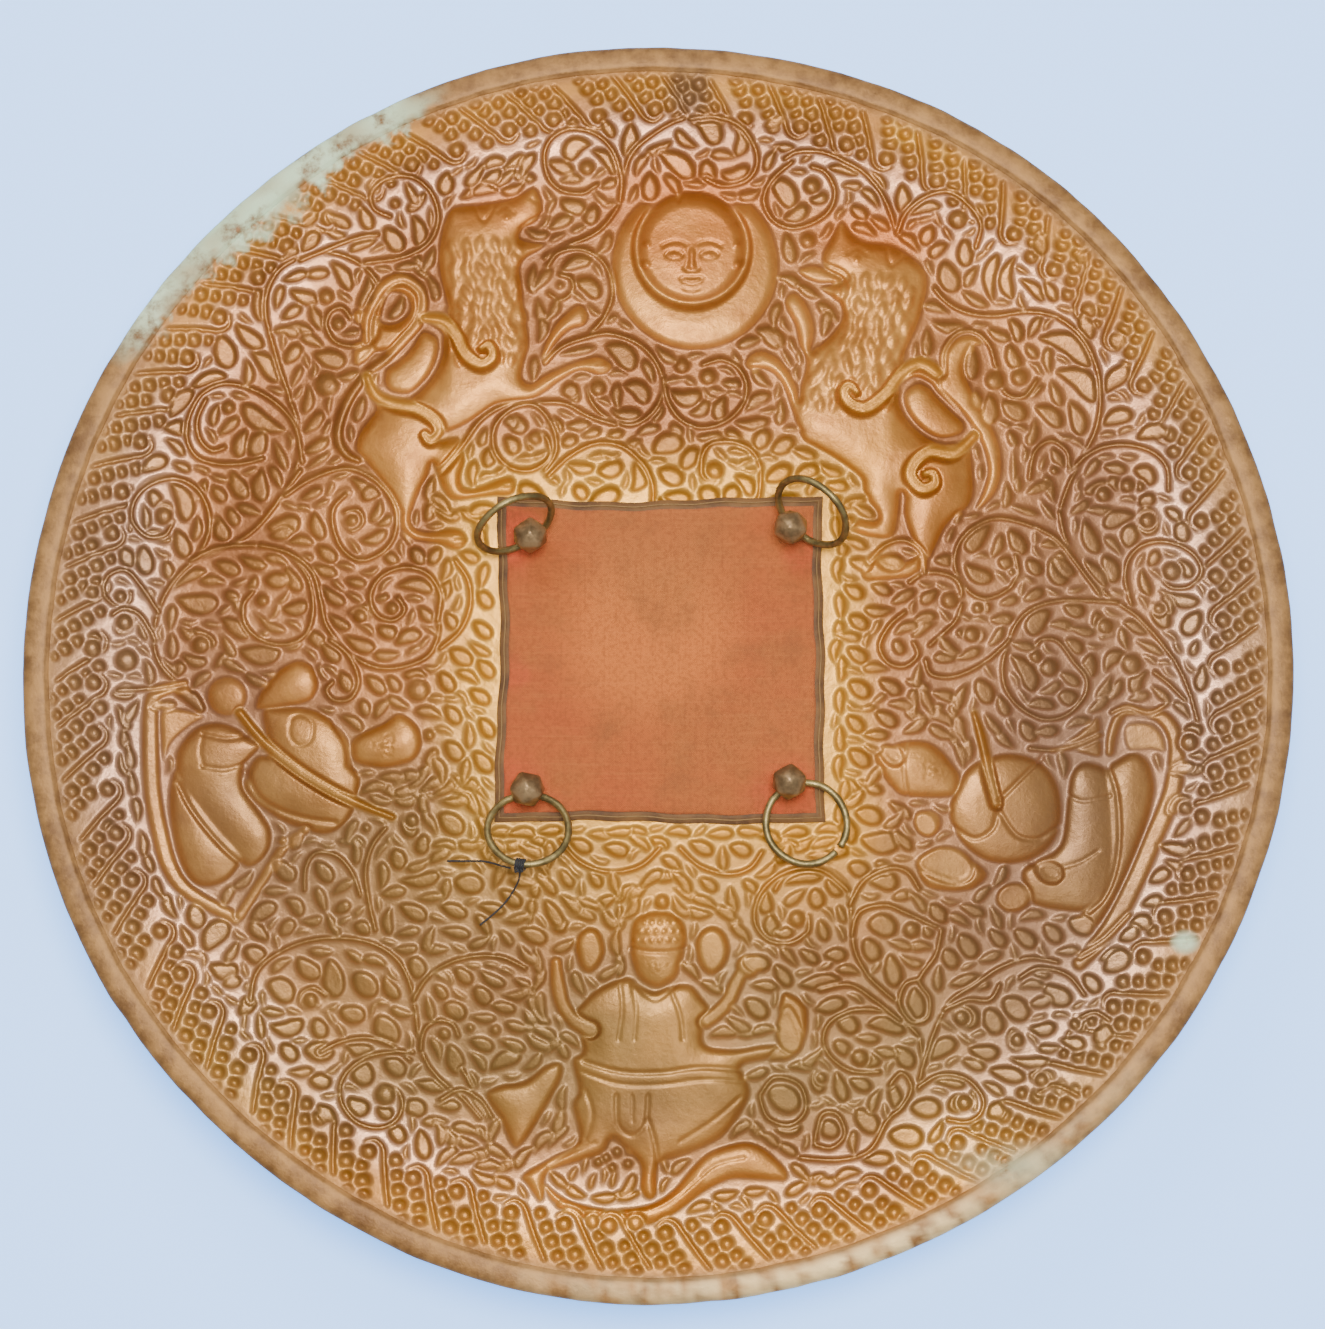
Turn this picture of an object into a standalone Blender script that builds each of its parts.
"""Dhal: a round, domed shield beaten from one sheet of copper alloy.

The shield lies on its front with its hollow inside up, as it does when it is put down.
Frame: metres, +Z up, origin on the floor under the middle of the shield, +Y towards the crescent.
Lengths below are in millimetres and are turned into metres when the meshes are made.

The ornament is set out on a flat drawing that is carried down to the bowl along straight lines
from one eye point above it, so that every figure is named by its place on the drawing.
"""
import math

import bmesh
import bpy
import numpy as np
from mathutils import Matrix, Vector
from mathutils.geometry import delaunay_2d_cdt

MM = 0.001

# ---------------------------------------------------------------- driving sizes (mm)
RADIUS = 280.2            # mean outer radius of the shield
EDGE_WAVES = ((2, 0.54, 39), (5, 0.47, -22), (7, 0.30, 2))   # hand-beaten edge: count, height, phase
SHEET = 1.3               # thickness of the beaten sheet
APEX_Z = 7.3              # inside surface at the centre, above the floor
SLOPE_MID = 0.46          # steepest slope of the bowl ...
SLOPE_OUT = 0.20          # ... and its slope where it starts to flatten towards the rim
R_MID, R_OUT, R_FLAT = 0.70 * RADIUS, 0.85 * RADIUS, 0.93 * RADIUS
ROLL_WIDTH = 11.6         # turned-over edge
ROLL_SECTION = (          # distance in from the edge, top and underside against the sheet's top
    (ROLL_WIDTH + 0.5, 0.0, -SHEET), (ROLL_WIDTH, 1.5, -SHEET - 0.3), (7.5, 2.2, -2.8),
    (2.2, 1.9, -2.6), (0.0, 0.3, -1.0))
RIM_SIDES = 72

RELIEF = 5.0              # depth of the figures, seen from inside as hollows
WALL = 3.6                # width of the beaten wall round a figure
MOON_FACE = 2.2           # how much deeper the face disc is than the crescent

PAD_SIDE = 151.0
PAD_CENTRE = (0.8, 4.4)
LEATHER = 1.1             # backing of the pad
CLOTH_EDGE, CLOTH_CROWN = 2.3, 4.2    # cushion thickness at its edge and in the middle
PAD_BORDER = 4.2          # strip of backing that shows round the cloth
GAP = 0.45

SHANK_R, HOLE_R = 3.0, 3.4
EYE_R, EYE_T, EYE_HOLE_R, EYE_H = 5.0, 4.0, 3.1, 9.4
BALL_R, BALL_UP = 8.4, 11.5
RING_R, WIRE_R = 18.45, 1.7
BOSS_R, BOSS_DEEP = 19.0, 6.3
THREAD_R = 0.42

# drawing: eye distance, image distance, lean of the sight line, centre, and the point aimed at
EYE_D, DRAW_F, EYE_LEAN, DRAW_C, AIM = 1100.0, 2495.0, math.radians(8.0), (662.5, 664.5), (1.9, -5.2)


# ---------------------------------------------------------------- the bowl
def bowl(r):
    """Height of the inside surface above its lowest point, from a slope that rises and falls."""
    r = np.abs(np.asarray(r, float))
    h1 = SLOPE_MID * R_MID / 2
    h2 = h1 + (SLOPE_MID + SLOPE_OUT) / 2 * (R_OUT - R_MID)
    a = SLOPE_MID * r * r / (2 * R_MID)
    b = h1 + SLOPE_MID * (r - R_MID) + (SLOPE_OUT - SLOPE_MID) * (r - R_MID) ** 2 / (2 * (R_OUT - R_MID))
    c = h2 + SLOPE_OUT * (r - R_OUT) - SLOPE_OUT * (r - R_OUT) ** 2 / (2 * (R_FLAT - R_OUT))
    top = h2 + SLOPE_OUT * (R_FLAT - R_OUT) / 2
    return np.where(r < R_MID, a, np.where(r < R_OUT, b, np.where(r < R_FLAT, c, top)))


DEPTH = float(bowl(RADIUS))
RIM_Z = APEX_Z + DEPTH


def edge_radius(angle):
    r = np.full_like(np.asarray(angle, float), RADIUS)
    for count, height, phase in EDGE_WAVES:
        r = r + height * np.cos(count * (angle - math.radians(phase)))
    return r


EYE = np.array([AIM[0], AIM[1] - EYE_D * math.sin(EYE_LEAN), RIM_Z + EYE_D * math.cos(EYE_LEAN)])


def sight(u, v):
    """Direction of the sight line through a point of the drawing."""
    a, b = (u - DRAW_C[0]) / DRAW_F, -(v - DRAW_C[1]) / DRAW_F
    return np.array([a, b * math.cos(EYE_LEAN) + math.sin(EYE_LEAN),
                     b * math.sin(EYE_LEAN) - math.cos(EYE_LEAN)])


def lay(u, v, above=0.0):
    """Point of the bowl (x, y, z) that the drawing's point (u, v) falls on, and the local scale."""
    d = sight(u, v)
    z = APEX_Z + 30.0
    for _ in range(12):
        t = (z - EYE[2]) / d[2]
        p = EYE + t * d
        z = APEX_Z + float(bowl(math.hypot(p[0], p[1]))) + above
    return p, t / DRAW_F


# ---------------------------------------------------------------- the figures, as chains of discs
# each chain is ((u, v, radius), ...) on the drawing: neighbouring discs are joined by their hull
LION_LEFT = {
    "head": ((535, 194, 6), (527, 210, 13), (505, 226, 21), (476, 238, 31)),
    "jaw": ((541, 246, 4), (520, 251, 9), (500, 255, 18)),
    "mane": ((478, 240, 33), (482, 275, 40), (488, 310, 38), (486, 345, 41)),
    "body": ((486, 345, 41), (482, 368, 38), (456, 397, 28), (428, 415, 22), (397, 438, 36)),
    "near_hind_leg": ((397, 440, 36), (400, 470, 27), (403, 500, 11), (406, 526, 8), (418, 537, 7),
                      (445, 537, 7), (460, 540, 8)),
    "far_hind_leg": ((447, 450, 16), (449, 475, 12), (453, 491, 8), (475, 491, 6), (506, 486, 9)),
    "near_fore_leg": ((520, 384, 16), (545, 383, 10), (567, 373, 9), (600, 364, 8)),
    "far_fore_leg": ((533, 374, 7), (545, 350, 7), (560, 330, 8), (577, 315, 9)),
    "tail": ((386, 405, 10), (374, 387, 6), (380, 369, 5), (410, 346, 4), (425, 319, 4), (445, 322, 6)),
    "tail_tuft": ((400, 300, 22), (384, 326, 13), (362, 352, 7)),
}
LION_RIGHT = {
    "head": ((841, 230, 7), (838, 252, 15), (852, 268, 26), (880, 274, 29)),
    "jaw": ((826, 290, 4), (845, 300, 12), (870, 300, 26)),
    "tongue": ((806, 272, 4), (836, 279, 3)),
    "mane": ((894, 276, 31), (883, 310, 40), (865, 345, 43), (850, 388, 47)),
    "body": ((850, 388, 47), (860, 424, 42), (898, 454, 26), (935, 482, 37)),
    "near_hind_leg": ((935, 484, 37), (932, 528, 18), (922, 552, 12), (903, 567, 9), (870, 570, 10)),
    "far_hind_leg": ((885, 488, 15), (884, 512, 9), (882, 528, 9), (858, 527, 6)),
    "near_fore_leg": ((806, 432, 8), (794, 400, 6), (784, 378, 7), (768, 361, 7), (755, 362, 8)),
    "far_fore_leg": ((808, 356, 4), (808, 332, 7), (800, 312, 9), (793, 302, 9)),
    "tail": ((968, 441, 9), (956, 418, 7), (944, 393, 6), (936, 371, 8), (912, 366, 8), (892, 380, 12)),
}
ARCHER_LEFT = {
    "head": ((376, 746, 23), (397, 741, 25)),
    "chest": ((284, 730, 21), (312, 746, 36), (326, 780, 34), (326, 806, 28)),
    "arm": ((262, 776, 18), (284, 794, 20), (310, 810, 20)),
    "near_thigh": ((212, 761, 37), (222, 796, 36), (246, 832, 27)),
    "far_thigh": ((184, 806, 13), (194, 835, 21), (207, 861, 25)),
    "orb": ((227, 697, 19),),
    "raised_hand": ((274, 698, 12), (297, 684, 20)),
    "bow": ((152, 696, 7), (153, 760, 7), (161, 832, 8), (176, 873, 8), (201, 897, 8), (238, 915, 8)),
    "bow_string": ((247, 905, 5), (264, 878, 5), (290, 842, 6), (308, 830, 5)),
    "arrow": ((243, 712, 5), (276, 749, 5), (310, 776, 5), (350, 798, 5), (392, 814, 4)),
}
ARCHER_RIGHT = {
    "head": ((900, 765, 20), (929, 770, 28)),
    "chest": ((985, 806, 36), (1014, 796, 42), (1020, 816, 42)),
    "arm": ((935, 868, 19), (966, 873, 15)),
    "near_thigh": ((1092, 790, 25), (1092, 842, 26), (1080, 880, 27), (1048, 884, 22)),
    "far_thigh": ((1132, 782, 20), (1130, 830, 18), (1116, 880, 14), (1092, 920, 9)),
    "orb": ((928, 823, 13),),
    "bow": ((1178, 735, 8), (1168, 780, 8), (1157, 830, 9), (1140, 876, 9), (1115, 920, 9), (1088, 954, 8)),
}
DEITY = {
    "head": ((657, 938, 28), (657, 960, 25)),
    "finial": ((662, 903, 7),),
    "earrings": ((590, 944, 17), (588, 954, 17)),
    "earring_right": ((712, 944, 19), (710, 957, 17)),
    "shoulders": ((604, 1010, 27), (645, 1022, 40), (686, 1014, 27)),
    "trunk": ((645, 1022, 46), (640, 1054, 42), (652, 1090, 52)),
    "lap": ((618, 1104, 38), (692, 1095, 50), (716, 1102, 32)),
    "right_shin": ((700, 1118, 26), (676, 1148, 13), (650, 1164, 9), (649, 1188, 9)),
    "left_shin": ((612, 1118, 32), (590, 1146, 16), (560, 1165, 9), (534, 1176, 9), (536, 1196, 6)),
    "mace": ((729, 1016, 10), (734, 990, 8), (749, 967, 12)),
    "forearm": ((712, 1036, 11), (745, 1039, 8), (776, 1034, 10)),
    "lotus": ((788, 1008, 10), (795, 1028, 13), (787, 1050, 7)),
    "left_arm": ((590, 1022, 16), (568, 1002, 8), (560, 978, 8)),
    "left_hand": ((510, 1102, 22), (530, 1096, 22), (554, 1072, 8)),
    "sea_beast": ((543, 1184, 4), (574, 1208, 9), (610, 1217, 11), (650, 1213, 12), (686, 1195, 14),
                  (716, 1171, 15), (744, 1161, 18), (768, 1165, 16), (783, 1174, 7)),
}
MOON_C, MOON_R = (695, 266), 84          # crescent
FACE_C, FACE_R = (692, 248), 56          # face disc that it holds
HORN_LINE = 202                          # the horns end at this height of the drawing


def chain_field(x, y, discs):
    """How far a point lies inside a chain of discs (mm, negative outside)."""
    pts = []
    for u, v, r in discs:
        p, scale = lay(u, v)
        pts.append((p[0], p[1], r * scale))
    best = pts[0][2] - np.hypot(x - pts[0][0], y - pts[0][1])
    for (ax, ay, ar), (bx, by, br) in zip(pts, pts[1:]):
        dx, dy = bx - ax, by - ay
        t = np.clip(((x - ax) * dx + (y - ay) * dy) / (dx * dx + dy * dy), 0, 1)
        best = np.maximum(best, ar + (br - ar) * t - np.hypot(x - ax - dx * t, y - ay - dy * t))
    return best


def figures_field(x, y):
    f = np.full_like(x, -99.0)
    for figure in (LION_LEFT, LION_RIGHT, ARCHER_LEFT, ARCHER_RIGHT, DEITY):
        for discs in figure.values():
            f = np.maximum(f, chain_field(x, y, discs))
    c, s = lay(*MOON_C)
    h, _ = lay(MOON_C[0], HORN_LINE)
    f = np.maximum(f, np.minimum(MOON_R * s - np.hypot(x - c[0], y - c[1]), h[1] - y))
    return np.maximum(f, face_field(x, y))


def face_field(x, y):
    c, s = lay(*FACE_C)
    return FACE_R * s - np.hypot(x - c[0], y - c[1])


def relief(x, y):
    """Depth of the beaten hollows at a point of the plan."""
    wall = np.clip(figures_field(x, y) / WALL, 0, 1)
    face = np.clip(face_field(x, y) / WALL, 0, 1)
    return RELIEF * np.sin(wall * math.pi / 2) + MOON_FACE * np.sin(face * math.pi / 2)


# ---------------------------------------------------------------- contour lines of a field
def contours(field, level, half, cell, loose):
    """Closed contour lines of field(x, y) = level inside a square, thinned to a tolerance."""
    n = int(2 * half / cell) + 1
    axis = np.linspace(-half, half, n)
    gx, gy = np.meshgrid(axis, axis, indexing="ij")
    g = field(gx, gy) - level
    g[g == 0] = 1e-9
    step = axis[1] - axis[0]
    links = {}

    def cut(i, j, k, m):
        t = g[i, j] / (g[i, j] - g[k, m])
        return (axis[i] + (axis[k] - axis[i]) * t, axis[j] + (axis[m] - axis[j]) * t)

    crossing = np.argwhere(np.abs(np.sign(g[:-1, :-1]) + np.sign(g[1:, :-1]) + np.sign(g[:-1, 1:])
                                  + np.sign(g[1:, 1:])) < 4)
    places = {}
    for i, j in crossing:
        corner = ((i, j), (i + 1, j), (i + 1, j + 1), (i, j + 1))
        cuts = []
        for a, b in zip(corner, corner[1:] + corner[:1]):
            if (g[a] > 0) != (g[b] > 0):
                key = (min(a, b), max(a, b))
                places[key] = cut(*key[0], *key[1])
                cuts.append(key)
        for a, b in zip(cuts[0::2], cuts[1::2]):
            links.setdefault(a, []).append(b)
            links.setdefault(b, []).append(a)
    loops = []
    seen = set()
    for start in links:
        if start in seen:
            continue
        loop, here, last = [], start, None
        while here not in seen:
            seen.add(here)
            loop.append(places[here])
            nxt = [k for k in links[here] if k != last and k not in seen]
            last = here
            if not nxt:
                break
            here = nxt[0]
        if len(loop) * step > 14:
            loops.append(thin(np.array(loop), loose))
    return loops


def thin(loop, loose):
    """Drop points of a closed line that lie within a tolerance of the line through the rest."""
    far = int(np.argmax(np.hypot(*(loop - loop[0]).T)))

    def part(a, b):
        p, q = loop[a], loop[b % len(loop)]
        if b - a < 2:
            return [a]
        mid = loop[a + 1:b]
        d = q - p
        length = math.hypot(*d) or 1e-9
        off = np.abs((mid[:, 0] - p[0]) * d[1] - (mid[:, 1] - p[1]) * d[0]) / length
        k = int(np.argmax(off))
        if off[k] < loose:
            return [a]
        return part(a, a + 1 + k) + part(a + 1 + k, b)

    keep = part(0, far) + part(far, len(loop))
    return loop[keep]


def inside(x, y, loop):
    hit = np.zeros(np.shape(x), bool)
    for (ax, ay), (bx, by) in zip(loop, np.roll(loop, -1, axis=0)):
        if ay == by:
            continue
        hit ^= ((ay > y) != (by > y)) & (x < (bx - ax) * (y - ay) / (by - ay) + ax)
    return hit


def edge_distance(x, y, loop):
    best = np.full(np.shape(x), 1e9)
    for (ax, ay), (bx, by) in zip(loop, np.roll(loop, -1, axis=0)):
        dx, dy = bx - ax, by - ay
        t = np.clip(((x - ax) * dx + (y - ay) * dy) / (dx * dx + dy * dy + 1e-12), 0, 1)
        best = np.minimum(best, np.hypot(x - ax - dx * t, y - ay - dy * t))
    return best


# ---------------------------------------------------------------- solids
def material(name, colour, metallic, roughness):
    m = bpy.data.materials.new(name)
    m.use_nodes = True
    p = m.node_tree.nodes["Principled BSDF"]
    p.inputs["Base Color"].default_value = (*colour, 1)
    p.inputs["Metallic"].default_value = metallic
    p.inputs["Roughness"].default_value = roughness
    m.diffuse_color = (*colour, 1)
    return m


def add_object(name, mesh, mat, smooth=35):
    ob = bpy.data.objects.new(name, mesh)
    bpy.context.scene.collection.objects.link(ob)
    mesh.materials.clear()
    mesh.materials.append(mat)
    mesh.shade_smooth()
    mesh.set_sharp_from_angle(angle=math.radians(smooth))
    return ob


def sheet_solid(name, mat, loops, free, top, bottom, outer, holes):
    """Solid between two height functions over a plan that is cut into triangles.

    loops are closed lines that stay edges, free are further points, outer is the plan's own
    outline and holes are the outlines of openings; outer and holes are among the loops."""
    pts, edges = [], []
    for loop in loops:
        first = len(pts)
        pts += [tuple(p) for p in loop]
        edges += [(first + k, first + (k + 1) % len(loop)) for k in range(len(loop))]
    pts += [tuple(p) for p in free]
    verts, _, faces, _, _, _ = delaunay_2d_cdt([Vector(p) for p in pts], edges, [], 0, 1e-4, False)
    vx = np.array([v.x for v in verts])
    vy = np.array([v.y for v in verts])
    tri = np.array([f for f in faces if len(f) == 3])
    mx, my = vx[tri].mean(axis=1), vy[tri].mean(axis=1)
    keep = inside(mx, my, outer)
    for hole in holes:
        keep &= ~inside(mx, my, hole)
    tri = tri[keep]
    zt, zb = top(vx, vy), bottom(vx, vy)
    used = {}
    for a, b, c in tri:
        for p, q in ((a, b), (b, c), (c, a)):
            used[(p, q)] = 1
    bm = bmesh.new()
    up = {i: bm.verts.new((vx[i] * MM, vy[i] * MM, zt[i] * MM)) for i in sorted(set(tri.ravel()))}
    dn = {i: bm.verts.new((vx[i] * MM, vy[i] * MM, zb[i] * MM)) for i in up}
    for a, b, c in tri:
        bm.faces.new((up[a], up[b], up[c]))
        bm.faces.new((dn[c], dn[b], dn[a]))
    for a, b in used:
        if (b, a) not in used:
            bm.faces.new((up[b], up[a], dn[a]))
            bm.faces.new((up[b], dn[a], dn[b]))
    bmesh.ops.recalc_face_normals(bm, faces=bm.faces)
    mesh = bpy.data.meshes.new(name)
    bm.to_mesh(mesh)
    bm.free()
    return add_object(name, mesh, mat)


def ring_points(radius_of, count, turn=0.0):
    a = np.arange(count) * 2 * math.pi / count + turn
    r = radius_of(a)
    return np.c_[r * np.cos(a), r * np.sin(a)]


def circle(x, y, r, count):
    return ring_points(lambda a: np.full_like(a, r), count) + np.array([x, y])


def turned(name, mat, profile, sides):
    """Turned solid about +Z from (radius, height) pairs, first and last on the axis."""
    bm = bmesh.new()
    rows = []
    for r, z in profile:
        if r == 0:
            rows.append([bm.verts.new((0, 0, z * MM))])
        else:
            rows.append([bm.verts.new((r * MM * math.cos(2 * math.pi * k / sides),
                                       r * MM * math.sin(2 * math.pi * k / sides), z * MM))
                         for k in range(sides)])
    for lo, hi in zip(rows, rows[1:]):
        for k in range(sides):
            m = (k + 1) % sides
            if len(lo) == 1:
                bm.faces.new((lo[0], hi[m], hi[k]))
            elif len(hi) == 1:
                bm.faces.new((lo[k], lo[m], hi[0]))
            else:
                bm.faces.new((lo[k], lo[m], hi[m], hi[k]))
    bmesh.ops.recalc_face_normals(bm, faces=bm.faces)
    mesh = bpy.data.meshes.new(name)
    bm.to_mesh(mesh)
    bm.free()
    return add_object(name, mesh, mat)


def boolean(ob, other, kind):
    other.hide_render = True
    other.display_type = "WIRE"
    mod = ob.modifiers.new(kind.lower(), "BOOLEAN")
    mod.operation = kind
    mod.solver = "EXACT"
    mod.object = other
    return mod


def axes(point, along, side=None):
    """Matrix that takes +Z to along and +X near side, at a point in mm."""
    z = Vector(along).normalized()
    x = Vector(side if side is not None else (1, 0, 0))
    x = (x - x.dot(z) * z).normalized()
    y = z.cross(x)
    m = Matrix((x, y, z)).transposed().to_4x4()
    m.translation = Vector(point) * MM
    return m


# ---------------------------------------------------------------- studs and rings: places
# site: the point of the bowl under the stud; lean: how its axis leans, x and y for each unit of z;
# heading: where the ring lies from its eye (degrees from +X), rise: its angle above level at rest
# (None for a ring that lies down), skew: how far it has slipped round in the slack of its eye.
# The eyes are stiff with age, so three of the rings stand where they were left.
STUDS = {
    "top_left": {"site": (-59.2, 59.2), "lean": (0.03, -0.01), "heading": 118.0, "rise": 68.0, "skew": 13.0},
    "top_right": {"site": (62.9, 66.6), "lean": (-0.12, -0.20), "heading": 48.0, "rise": 63.0, "skew": -9.0},
    "bottom_left": {"site": (-59.7, -60.3), "lean": (0.03, 0.14), "heading": -88.0, "rise": 28.0, "skew": 0.0},
    "bottom_right": {"site": (60.2, -55.9), "lean": (-0.05, 0.09), "heading": -66.0, "rise": None, "skew": 0.0},
}


def stud_frame(key):
    s = STUDS[key]
    x, y = s["site"]
    base = Vector((x, y, APEX_Z + float(bowl(math.hypot(x, y)))))
    axis = Vector((s["lean"][0], s["lean"][1], 1)).normalized()
    eye = base + EYE_H * axis
    h = math.radians(s["heading"])
    level = Vector((math.cos(h), math.sin(h), 0))
    pin = Vector((math.sin(h), -math.cos(h), 0))
    pin = (pin - pin.dot(axis) * axis).normalized()        # the eye's hole is square to the stud
    flat = (level - level.dot(pin) * pin).normalized()     # towards the ring, square to the pin
    return base, axis, eye, pin, flat


def ring_frame(pin, flat, rise, skew):
    """Directions from the eye to the ring's middle and along the wire in the eye."""
    c, s = math.cos(math.radians(rise)), math.sin(math.radians(rise))
    away = pin.cross(flat)
    if away.z < 0:
        away = -away
    up = c * flat + s * away
    c, s = math.cos(math.radians(skew)), math.sin(math.radians(skew))
    return c * up - s * pin, c * pin + s * up


def ring_floor(eye, pin, flat, rise, skew):
    """Least clearance (mm) between the wire of a ring at a rise angle and what lies under it."""
    d, along = ring_frame(pin, flat, rise, skew)
    least = 99.0
    for k in range(4, 69):
        a = 2 * math.pi * k / 72
        p = eye + RING_R * ((1 - math.cos(a)) * d + math.sin(a) * along)
        r = math.hypot(p.x, p.y)
        under = APEX_Z + float(bowl(r))
        half = PAD_SIDE / 2 + 1.6
        if abs(p.x - PAD_CENTRE[0]) < half and abs(p.y - PAD_CENTRE[1]) < half:
            under += pad_top(p.x, p.y)
        least = min(least, (p.z - under) * math.cos(math.atan(SLOPE_MID * r / R_MID)) - WIRE_R)
    return least


def pad_top(x, y):
    """Top of the pad above the bowl: leather, gap and the crowned cushion."""
    q = np.clip(1 - np.maximum(np.abs(x - PAD_CENTRE[0]), np.abs(y - PAD_CENTRE[1])) / (PAD_SIDE / 2), 0, 1)
    crown = np.clip(q * 1.9, 0, 1)
    return GAP + LEATHER + 0.35 + CLOTH_EDGE + (CLOTH_CROWN - CLOTH_EDGE) * crown * crown * (3 - 2 * crown)


def lying_rise(eye, pin, flat, skew, step=-0.25):
    """Rise at which a ring let down comes to 0.35 mm above the surface; step > 0 for the far side."""
    rise = 80.0
    while -60 < rise < 240 and ring_floor(eye, pin, flat, rise, skew) > 0.35:
        rise += step
    return rise - step


# ---------------------------------------------------------------- build
def build():
    for ob in list(bpy.data.objects):
        bpy.data.objects.remove(ob, do_unlink=True)
    brass = material("beaten_copper_alloy", (0.42, 0.20, 0.085), 0.85, 0.42)
    iron = material("dark_bronze", (0.12, 0.10, 0.075), 0.8, 0.45)
    gold = material("gilt_bosses", (0.50, 0.30, 0.11), 0.9, 0.35)
    hide = material("backing_leather", (0.09, 0.075, 0.065), 0.0, 0.75)
    cloth = material("madder_cloth", (0.50, 0.12, 0.06), 0.0, 0.9)
    black = material("black_thread", (0.01, 0.01, 0.01), 0.0, 0.8)

    build_plate(brass)
    build_pad(hide, cloth)
    for key in STUDS:
        build_stud(key, iron)
        build_boss(key, gold)
        build_ring(key, iron)
    build_thread(black)


def build_plate(mat):
    def inward(x, y):
        return edge_radius(np.arctan2(y, x)) - np.hypot(x, y)

    ins = [row[0] for row in ROLL_SECTION][::-1]
    tops = [row[1] for row in ROLL_SECTION][::-1]
    lows = [row[2] for row in ROLL_SECTION][::-1]

    def top(x, y):
        d = inward(x, y)
        return APEX_Z + bowl(np.hypot(x, y)) - relief(x, y) + np.interp(d, ins, tops)

    def bottom(x, y):
        d = inward(x, y)
        return APEX_Z + bowl(np.hypot(x, y)) - relief(x, y) + np.interp(d, ins, lows)

    rims = [ring_points(lambda a, k=k: edge_radius(a) - k, RIM_SIDES) for k in ins]
    outline = contours(figures_field, 0.0, RADIUS, 1.25, 0.85)
    floors = contours(figures_field, WALL, RADIUS, 1.25, 1.15)
    face = contours(face_field, 0.0, RADIUS, 1.25, 0.5)
    holes = []
    for key in STUDS:
        base, axis, *_ = stud_frame(key)
        holes.append(circle(base.x, base.y, HOLE_R, 8))
    free = [(0.0, 0.0)]
    for r, spacing in ((24, 23), (48, 23), (72, 23), (97, 25), (122, 27), (146, 29), (169, 30),
                       (191, 32), (210, 33), (227, 34), (243, 36), (258, 37)):
        n = int(2 * math.pi * r / spacing)
        free += [(r * math.cos(2 * math.pi * (k + 0.5 * (r % 2)) / n),
                  r * math.sin(2 * math.pi * (k + 0.5 * (r % 2)) / n)) for k in range(n)]
    free = np.array(free)
    ok = np.ones(len(free), bool)
    for loop in outline + floors + face + holes:
        ok &= edge_distance(free[:, 0], free[:, 1], loop) > 4.5
    sheet_solid("shield_plate", mat, rims + outline + floors + face + holes, free[ok], top, bottom,
                rims[0], holes)


def pad_outline(half):
    """Square whose sides waver a little, as cut and stretched by hand."""
    pts = []
    for side in range(4):
        a = side * math.pi / 2
        for k in range(8):
            t = -1 + k / 4.0
            waver = 1.1 * math.sin(3.1 * t + 1.7 * side) * (1 - t * t) - 0.5 * (1 - t * t)
            x, y = half * t, -half - waver
            pts.append((x * math.cos(a) - y * math.sin(a) + PAD_CENTRE[0],
                        x * math.sin(a) + y * math.cos(a) + PAD_CENTRE[1]))
    return np.array(pts)


def build_pad(hide, cloth):
    def level(x, y):
        return APEX_Z + bowl(np.hypot(x, y))

    grid = np.array([(x, y) for x in np.arange(-64, 65, 16.0) for y in np.arange(-64, 65, 16.0)])
    grid = grid + np.array(PAD_CENTRE)
    for name, mat, half, hole_r, low, high in (
            ("pad_backing", hide, PAD_SIDE / 2, SHANK_R + 0.6,
             lambda x, y: level(x, y) + GAP, lambda x, y: level(x, y) + GAP + LEATHER),
            ("pad_cushion", cloth, PAD_SIDE / 2 - PAD_BORDER, EYE_R + 0.6,
             lambda x, y: level(x, y) + GAP + LEATHER + 0.35, lambda x, y: level(x, y) + pad_top(x, y))):
        outer = pad_outline(half)
        holes = []
        for key in STUDS:
            base, axis, *_ = stud_frame(key)
            lift = (4.0 if name == "pad_cushion" else 1.0)
            holes.append(circle(base.x + axis.x * lift, base.y + axis.y * lift, hole_r, 10))
        ok = edge_distance(grid[:, 0], grid[:, 1], outer) > 5
        ok &= inside(grid[:, 0], grid[:, 1], outer)
        for hole in holes:
            ok &= edge_distance(grid[:, 0], grid[:, 1], hole) > 3
            ok &= ~inside(grid[:, 0], grid[:, 1], hole)
        sheet_solid(name, mat, [outer] + holes, grid[ok], high, low, outer, holes)


def build_stud(key, mat):
    base, axis, eye, pin, flat = stud_frame(key)
    name = "ring_stud_" + key
    low = -SHEET - 5.0
    ball_z = EYE_H + BALL_UP
    # one turned piece: riveted shank, neck and ball
    profile = [(0, low), (SHANK_R, low), (SHANK_R, EYE_H - 2.0), (2.6, EYE_H - 1.0), (2.6, EYE_H + 3.2)]
    for k in range(0, 6):
        a = math.radians(-72 + (162 / 6) * (k + 0.35))
        profile.append((BALL_R * math.cos(a), ball_z + BALL_R * math.sin(a)))
    profile.append((0, ball_z + BALL_R))
    body = turned(name, mat, profile, 10)
    body.matrix_world = axes(base, axis, pin)
    # the flattened eye, square across the pin
    lug = turned(name + "_lug", mat, [(0, -EYE_T / 2), (EYE_R, -EYE_T / 2), (EYE_R, EYE_T / 2), (0, EYE_T / 2)], 14)
    lug.matrix_world = axes(eye, pin, axis)
    drill = turned(name + "_drill", mat, [(0, -7), (EYE_HOLE_R, -7), (EYE_HOLE_R, 7), (0, 7)], 12)
    drill.matrix_world = axes(eye, pin, axis)
    boolean(body, lug, "UNION")
    boolean(body, drill, "DIFFERENCE")


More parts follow.
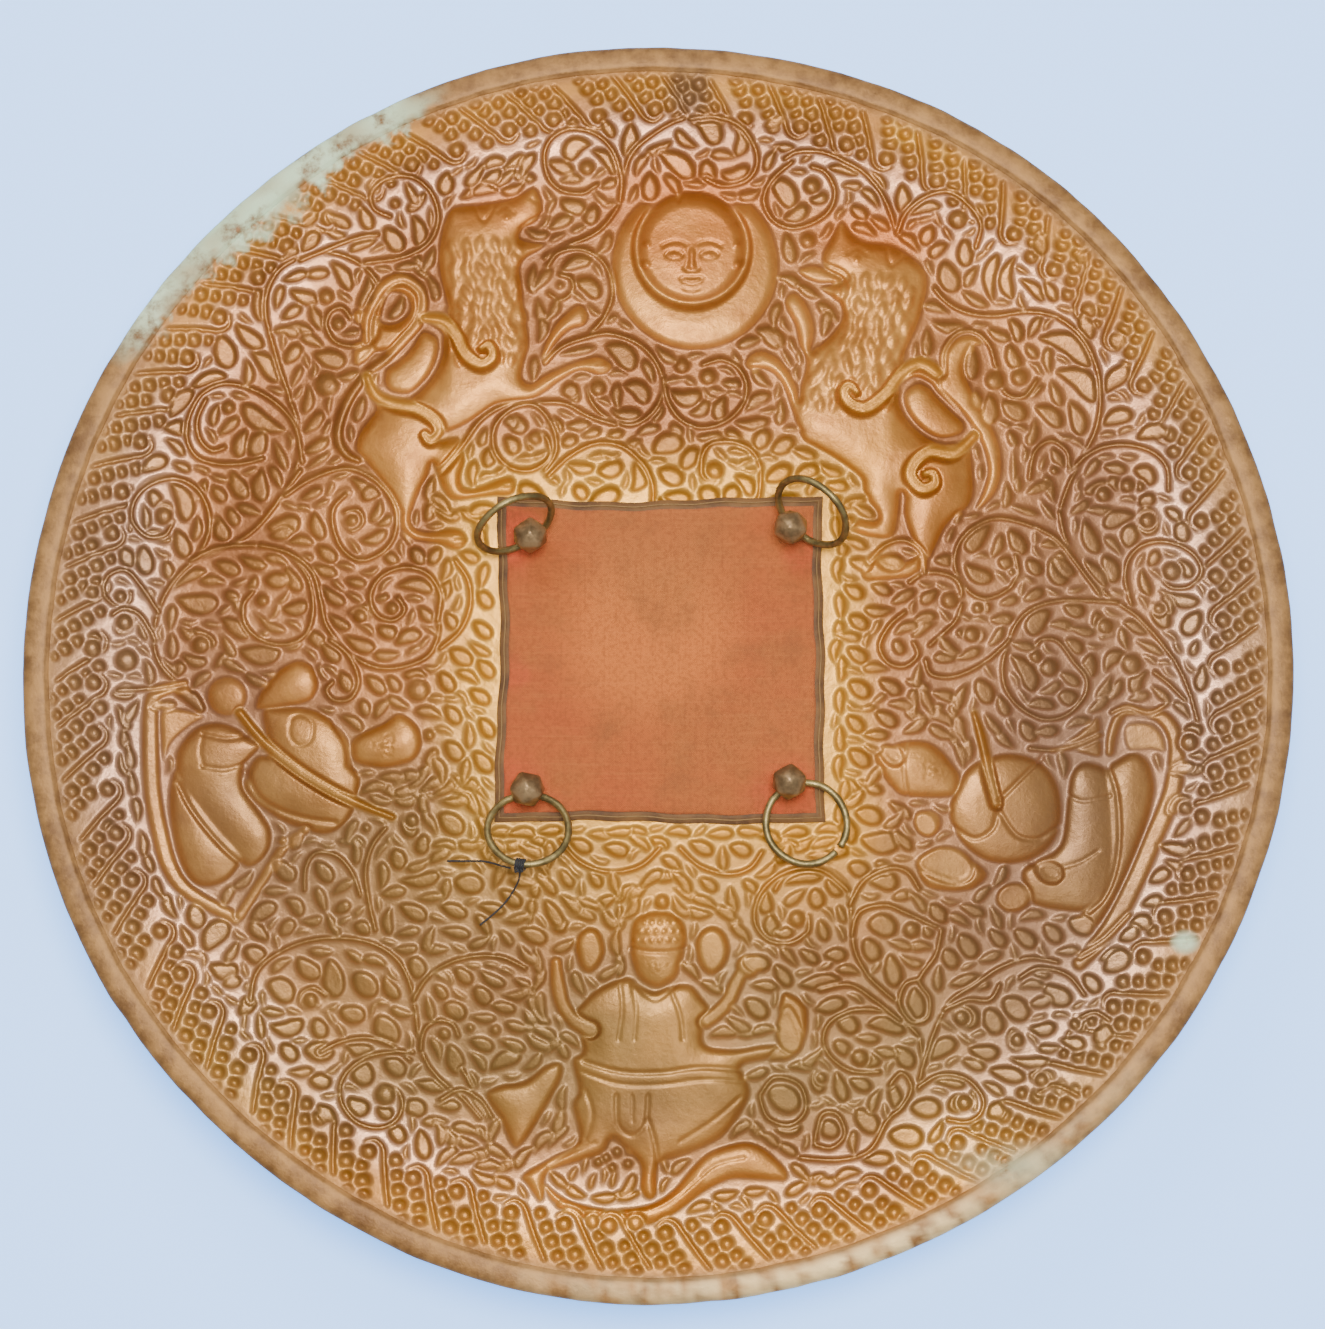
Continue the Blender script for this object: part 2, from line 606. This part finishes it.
def build_boss(key, mat):
    base, axis, *_ = stud_frame(key)
    r = math.hypot(base.x, base.y)
    slope = SLOPE_MID * r / R_MID
    outward = Vector((slope * base.x / r, slope * base.y / r, -1)).normalized()
    seat = base + outward * (SHEET + 0.35)
    high = (seat.z + 0.9) / -outward.z                      # dressed down to the common floor
    dome = [(0, 0), (BOSS_R, 0), (BOSS_R, 1.5), (BOSS_R - 2.2, 2.2)]
    for k in range(1, 5):
        a = math.radians(90 * k / 5)
        dome.append(((BOSS_R - 3.0) * math.cos(a), 2.4 + (high - 2.4) * math.sin(a)))
    dome.append((0, high))
    body = turned("front_boss_" + key, mat, dome, 18)
    body.matrix_world = axes(seat, outward)
    floor = bpy.data.meshes.new("floor_cut")
    bm = bmesh.new()
    bmesh.ops.create_cube(bm, size=0.06)
    bmesh.ops.translate(bm, verts=bm.verts, vec=(base.x * MM, base.y * MM, -0.03))
    bm.to_mesh(floor)
    bm.free()
    cutter = add_object("floor_cut_" + key, floor, mat)
    boolean(body, cutter, "DIFFERENCE")
    deep = turned("socket_" + key, mat, [(0, -SHEET - BOSS_DEEP), (HOLE_R, -SHEET - BOSS_DEEP), (HOLE_R, 3), (0, 3)], 12)
    deep.matrix_world = axes(base, axis)
    boolean(body, deep, "DIFFERENCE")


def build_ring(key, mat):
    base, axis, eye, pin, flat = stud_frame(key)
    rise, skew = STUDS[key]["rise"], STUDS[key]["skew"]
    rise = lying_rise(eye, pin, flat, skew) if rise is None else rise
    d, along = ring_frame(pin, flat, rise, skew)
    # the bottom right ring is a bent rod whose ends do not meet; the others are closed
    opening = (math.radians(202), math.radians(211)) if key == "bottom_right" else None
    around, sides = 24, 6
    bm = bmesh.new()
    rows = []
    if opening:
        start, end = opening[1], opening[0] + 2 * math.pi
        angles = [start + (end - start) * k / around for k in range(around + 1)]
    else:
        angles = [2 * math.pi * (k + 0.5) / around for k in range(around)]
    for a in angles:
        out = Vector(-math.cos(a) * d + math.sin(a) * along)
        centre = eye + RING_R * d + RING_R * out
        nrm = along.cross(d)
        rows.append([bm.verts.new((centre + WIRE_R * (math.cos(b) * out + math.sin(b) * nrm)) * MM)
                     for b in (2 * math.pi * (m + 0.5) / sides for m in range(sides))])
    pairs = list(zip(rows, rows[1:])) + ([] if opening else [(rows[-1], rows[0])])
    for p, q in pairs:
        for m in range(sides):
            n = (m + 1) % sides
            bm.faces.new((p[m], q[m], q[n], p[n]))
    if opening:
        bm.faces.new(rows[0])
        bm.faces.new(rows[-1][::-1])
    origin = eye * MM
    bmesh.ops.translate(bm, verts=bm.verts, vec=-origin)
    bmesh.ops.recalc_face_normals(bm, faces=bm.faces)
    mesh = bpy.data.meshes.new("ring_" + key)
    bm.to_mesh(mesh)
    bm.free()
    ob = add_object("ring_" + key, mesh, mat)
    ob.location = origin


# route of each end of the black thread: place on the drawing and height above the bowl (mm)
THREAD_ROUTES = {
    "tie_thread_long": ((520, 870, 17.0), (519, 879, 12.5), (515, 888, 7.5), (508, 899, 3.2),
                        (500, 908, 1.3), (490, 917, 1.2), (480, 925, 1.2)),
    "tie_thread_short": ((510, 868, 15.5), (502, 866, 11.5), (492, 863, 7.0), (481, 861, 3.2),
                         (470, 861, 1.3), (459, 861, 1.2), (447, 861, 1.2)),
}


def build_thread(mat):
    for name, route in THREAD_ROUTES.items():
        pts = [Vector(lay(u, v, above)[0]) for u, v, above in route]
        smooth = []
        for k in range(len(pts) - 1):
            p0, p1, p2, p3 = pts[max(k - 1, 0)], pts[k], pts[k + 1], pts[min(k + 2, len(pts) - 1)]
            for m in range(2):
                t = m / 2.0
                smooth.append(0.5 * ((2 * p1) + (p2 - p0) * t + (2 * p0 - 5 * p1 + 4 * p2 - p3) * t * t
                                     + (3 * p1 - p0 - 3 * p2 + p3) * t * t * t))
        smooth.append(pts[-1])
        curve = bpy.data.curves.new(name, "CURVE")
        curve.dimensions = "3D"
        curve.bevel_depth = THREAD_R * MM
        curve.bevel_resolution = 1
        curve.use_fill_caps = True
        spline = curve.splines.new("POLY")
        spline.points.add(len(smooth) - 1)
        for point, p in zip(spline.points, smooth):
            point.co = (*(p * MM), 1)
        curve.materials.append(mat)
        ob = bpy.data.objects.new(name, curve)
        bpy.context.scene.collection.objects.link(ob)


build()
